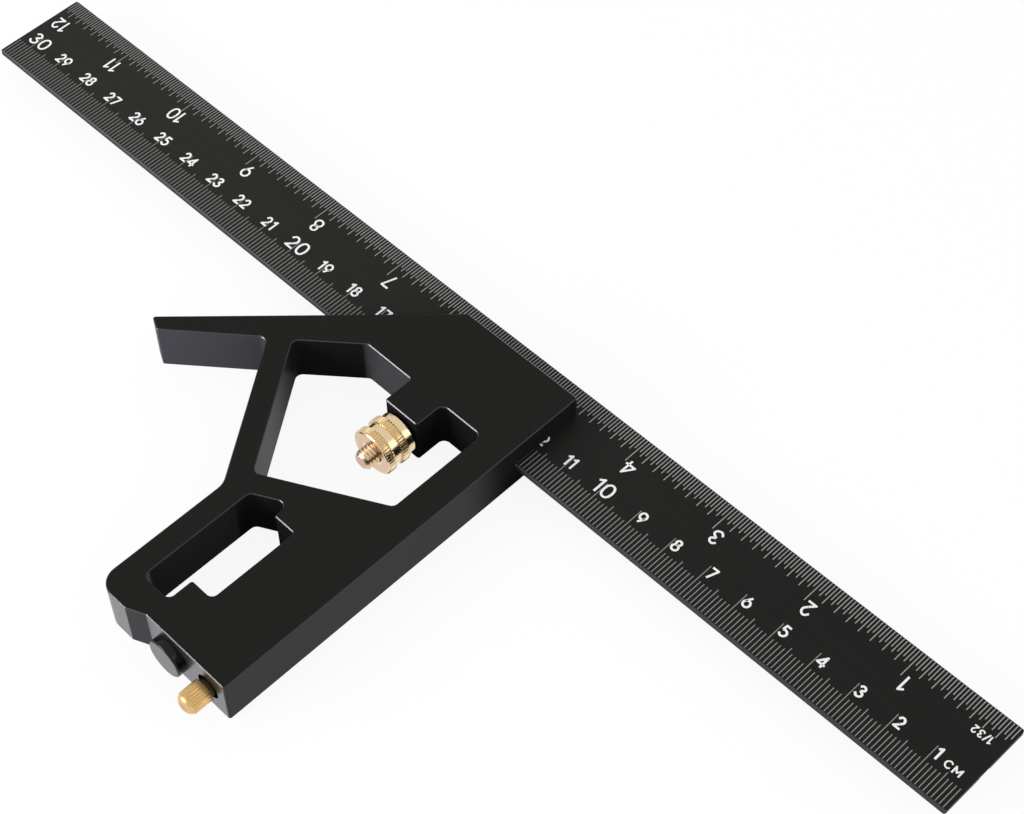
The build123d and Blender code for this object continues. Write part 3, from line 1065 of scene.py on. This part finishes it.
class SETSQUARE_OT_scriber_knob(Operator):
    """Add the scriber's ribbed knob"""

    bl_idname = "setsquare.scriber_knob"
    bl_label = "Scriber Knob"

    def execute(self, context):
        clamp = context.scene.set_square_clamp
        x, z = axis_of(KNOB_LOW, KNOB_HIGH)
        radius = (KNOB_HIGH.x - KNOB_LOW.x) / 2
        span = KNOB_HIGH.y - KNOB_LOW.y
        dome = 1.45 * MM
        dome_start = span - dome
        inner = radius - clamp.knob_tooth_depth
        neck = 2.3 * MM
        grip_start = KNOB_GRIP_START
        break_size = 0.2 * MM
        profile = [
            (0.0, 0.0), (neck - break_size, 0.0), (neck, break_size), (neck, grip_start),
            (inner, grip_start), (inner, dome_start),
        ]
        for step in range(1, DOME_STEPS + 1):
            angle = step * pi / (2 * DOME_STEPS)
            across = inner * cos(angle) if step < DOME_STEPS else 0.0
            profile.append((across, dome_start + dome * sin(angle)))
        knob = lathe(profile, 4 * clamp.knob_teeth)
        grip = toothed_band(
            radius, clamp.knob_tooth_depth, clamp.knob_teeth, dome_start - grip_start, KNOB_GRIP_HOLE,
            rounded=True,
        )
        move(grip, (0, 0, grip_start))
        knob = smooth(join(knob, grip), 40)
        along_y(knob, x, KNOB_HIGH.y, z)
        material = NODES["scriber_knob"].data.materials[0]
        finish_piece(knob, "scriber_knob_ribbed", "scriber", material, ["scriber_knob"])
        return {"FINISHED"}


# ---- Studio -----------------------------------------------------------------------------------------------


# Where the softboxes stand and how large they are, in metres.
LAMP_AIM = (-0.03, -0.02, 0.0)
KEY_PLACE = (-0.42, -0.72, 0.36)
KEY_SIZE = (0.5, 0.25)
SIDE_PLACE = (0.66, 0.33, 0.46)
SIDE_SIZE = (0.5, 0.5)
FLOOR_SIZE = 6.0
FLOOR_GAP = 0.05 * MM
# Heights on the unit sphere between which the room's low light turns into its high light.
HORIZON = (0.45, 0.85)


def softbox(name, place, size, power):
    """A rectangular lamp that looks at the set square."""
    deselect()
    bpy.ops.object.light_add(type="AREA", location=place)
    lamp = bpy.context.object
    lamp.name = lamp.data.name = name
    lamp.rotation_euler = (Vector(LAMP_AIM) - Vector(place)).to_track_quat("-Z", "Y").to_euler()
    lamp.data.shape = "RECTANGLE"
    lamp.data.size, lamp.data.size_y = size
    lamp.data.energy = power
    return lamp


def seen_mix(tree, lit, white, share, out):
    """Lets camera, glossy and transmission rays see a share of plain white."""
    rays = tree.nodes.new("ShaderNodeLightPath")
    seen = rays.outputs["Is Camera Ray"]
    for kind in ("Is Glossy Ray", "Is Transmission Ray"):
        most = tree.nodes.new("ShaderNodeMath")
        most.operation = "MAXIMUM"
        tree.links.new(seen, most.inputs[0])
        tree.links.new(rays.outputs[kind], most.inputs[1])
        seen = most.outputs[0]
    part = tree.nodes.new("ShaderNodeMath")
    part.operation = "MULTIPLY"
    tree.links.new(seen, part.inputs[0])
    part.inputs[1].default_value = share
    blend = tree.nodes.new("ShaderNodeMixShader")
    tree.links.new(part.outputs[0], blend.inputs[0])
    tree.links.new(lit, blend.inputs[1])
    tree.links.new(white, blend.inputs[2])
    tree.links.new(blend.outputs[0], out)


class SETSQUARE_OT_stage(Operator):
    """Add the floor, the room, the lamps and the camera"""

    bl_idname = "setsquare.stage"
    bl_label = "Stage"

    def execute(self, context):
        studio = context.scene.set_square_studio
        deselect()
        bpy.ops.mesh.primitive_plane_add(size=FLOOR_SIZE, location=(0, 0, -FLOOR_GAP))
        floor = bpy.context.object
        floor.name = "floor"
        surface = Finish("floor_white", base_color=(*studio.floor_colour, 1), roughness=0.9)
        surface.set("Specular IOR Level", 0.0)
        white = surface.node("ShaderNodeEmission", Color=(1, 1, 1, 1), Strength=1.0)
        output = surface.tree.nodes["Material Output"].inputs["Surface"]
        seen_mix(surface.tree, surface.shader.outputs[0], white.outputs[0], studio.floor_white, output)
        floor.data.materials.append(surface.material)

        world = bpy.data.worlds.new("room")
        context.scene.world = world
        world.use_nodes = True
        tree = world.node_tree
        room = tree.nodes["Background"]
        room.inputs["Color"].default_value = (1.0, 1.0, 1.0, 1.0)
        place = tree.nodes.new("ShaderNodeTexCoord")
        parts = tree.nodes.new("ShaderNodeSeparateXYZ")
        tree.links.new(place.outputs["Generated"], parts.inputs[0])
        rise = tree.nodes.new("ShaderNodeMapRange")
        rise.interpolation_type = "SMOOTHSTEP"
        tree.links.new(parts.outputs["Z"], rise.inputs["Value"])
        rise.inputs["From Min"].default_value, rise.inputs["From Max"].default_value = HORIZON
        rise.inputs["To Min"].default_value = studio.sky_low
        rise.inputs["To Max"].default_value = studio.sky_high
        tree.links.new(rise.outputs["Result"], room.inputs["Strength"])
        white = tree.nodes.new("ShaderNodeBackground")
        white.inputs["Strength"].default_value = 1.0
        seen_mix(tree, room.outputs[0], white.outputs[0], 1.0, tree.nodes["World Output"].inputs["Surface"])

        softbox("key_softbox", KEY_PLACE, KEY_SIZE, studio.key_power)
        softbox("side_softbox", SIDE_PLACE, SIDE_SIZE, studio.side_power)

        deselect()
        bpy.ops.object.camera_add(location=studio.camera_place, rotation=studio.camera_turn)
        camera = context.object
        camera.name = "camera"
        camera.data.lens = studio.lens
        camera.data.sensor_width = 36.0
        camera.data.shift_x, camera.data.shift_y = studio.shift
        camera.data.clip_start = 0.01
        context.scene.camera = camera
        context.scene.view_settings.view_transform = "Standard"
        return {"FINISHED"}


OPERATORS = (
    SETSQUARE_OT_finishes,
    SETSQUARE_OT_metric_scale,
    SETSQUARE_OT_inch_scale,
    SETSQUARE_OT_clamp_bolt,
    SETSQUARE_OT_clamp_nut,
    SETSQUARE_OT_scriber_knob,
    SETSQUARE_OT_stage,
)
GROUPS = {
    "set_square_finish": SetSquareFinish,
    "set_square_scale": SetSquareScale,
    "set_square_clamp": SetSquareClamp,
    "set_square_studio": SetSquareStudio,
}


class SETSQUARE_PT_panel(Panel):
    """Steps and sizes of the set square"""

    bl_idname = "SETSQUARE_PT_panel"
    bl_label = "Adjustable Set Square"
    bl_space_type = "VIEW_3D"
    bl_region_type = "UI"
    bl_category = "Set Square"

    def draw(self, context):
        for operator in OPERATORS:
            self.layout.operator(operator.bl_idname)
        for group in GROUPS:
            box = self.layout.box()
            settings = getattr(context.scene, group)
            for name in settings.__annotations__:
                box.prop(settings, name)


def register():
    """Registers the classes and their settings."""
    for group in GROUPS.values():
        bpy.utils.register_class(group)
    for operator in OPERATORS:
        bpy.utils.register_class(operator)
    bpy.utils.register_class(SETSQUARE_PT_panel)
    for name, group in GROUPS.items():
        setattr(bpy.types.Scene, name, PointerProperty(type=group))


def unregister():
    """Removes the classes and their settings."""
    for name in GROUPS:
        delattr(bpy.types.Scene, name)
    bpy.utils.unregister_class(SETSQUARE_PT_panel)
    for operator in reversed(OPERATORS):
        bpy.utils.unregister_class(operator)
    for group in reversed(GROUPS.values()):
        bpy.utils.unregister_class(group)


def main():
    """Runs the steps in order."""
    register()
    for operator in OPERATORS:
        module, name = operator.bl_idname.split(".")
        getattr(getattr(bpy.ops, module), name)()


if __name__ == "__main__":
    main()
